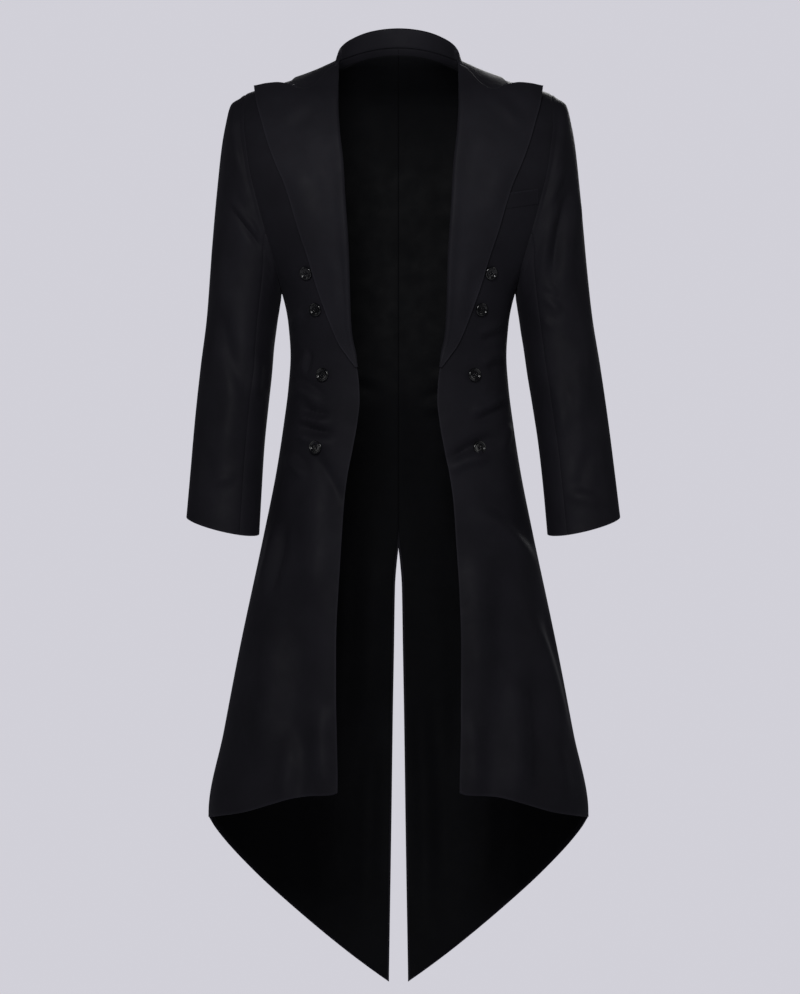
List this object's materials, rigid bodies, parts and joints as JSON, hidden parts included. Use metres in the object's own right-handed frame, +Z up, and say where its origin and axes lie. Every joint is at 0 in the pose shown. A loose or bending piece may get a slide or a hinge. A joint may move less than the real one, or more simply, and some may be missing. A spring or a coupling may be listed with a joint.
{
  "type": "tailcoat",
  "caption": "Long black double-breasted tailcoat worn open, with wide peaked lapels, folded collar, two-piece sleeves, chest pocket welt and pointed tails parted by a back vent.",
  "frame": {"origin": "midway between the two shoulder seams at the neck, level with where the coat rests on its wearer's shoulders", "axes": "+Z up, the coat faces -Y, +X towards the wearer's left"},
  "size_m": [0.6282, 0.3127, 1.3818],
  "materials": {
    "suiting": "smooth tightly woven black suiting with a faint satin sheen",
    "lapel_cloth": "the same black suiting, pressed smooth, slightly brighter",
    "lining": "thin flat black lining",
    "button": "glossy black, rimmed"
  },
  "bodies": {
    "root": {"front_left": "suiting", "front_right": "suiting", "back_left": "suiting", "back_right": "suiting", "lining_left": "lining", "lining_right": "lining", "lapel_left": "lapel_cloth", "lapel_right": "lapel_cloth", "collar": "lapel_cloth", "sleeve_upper_left": "suiting", "sleeve_upper_right": "suiting", "sleeve_under_left": "suiting", "sleeve_under_right": "suiting", "pocket_welt": "suiting", "button_left_1": "button", "button_left_2": "button", "button_left_3": "button", "button_left_4": "button", "button_right_1": "button", "button_right_2": "button", "button_right_3": "button", "button_right_4": "button"}
  },
  "joints": []
}
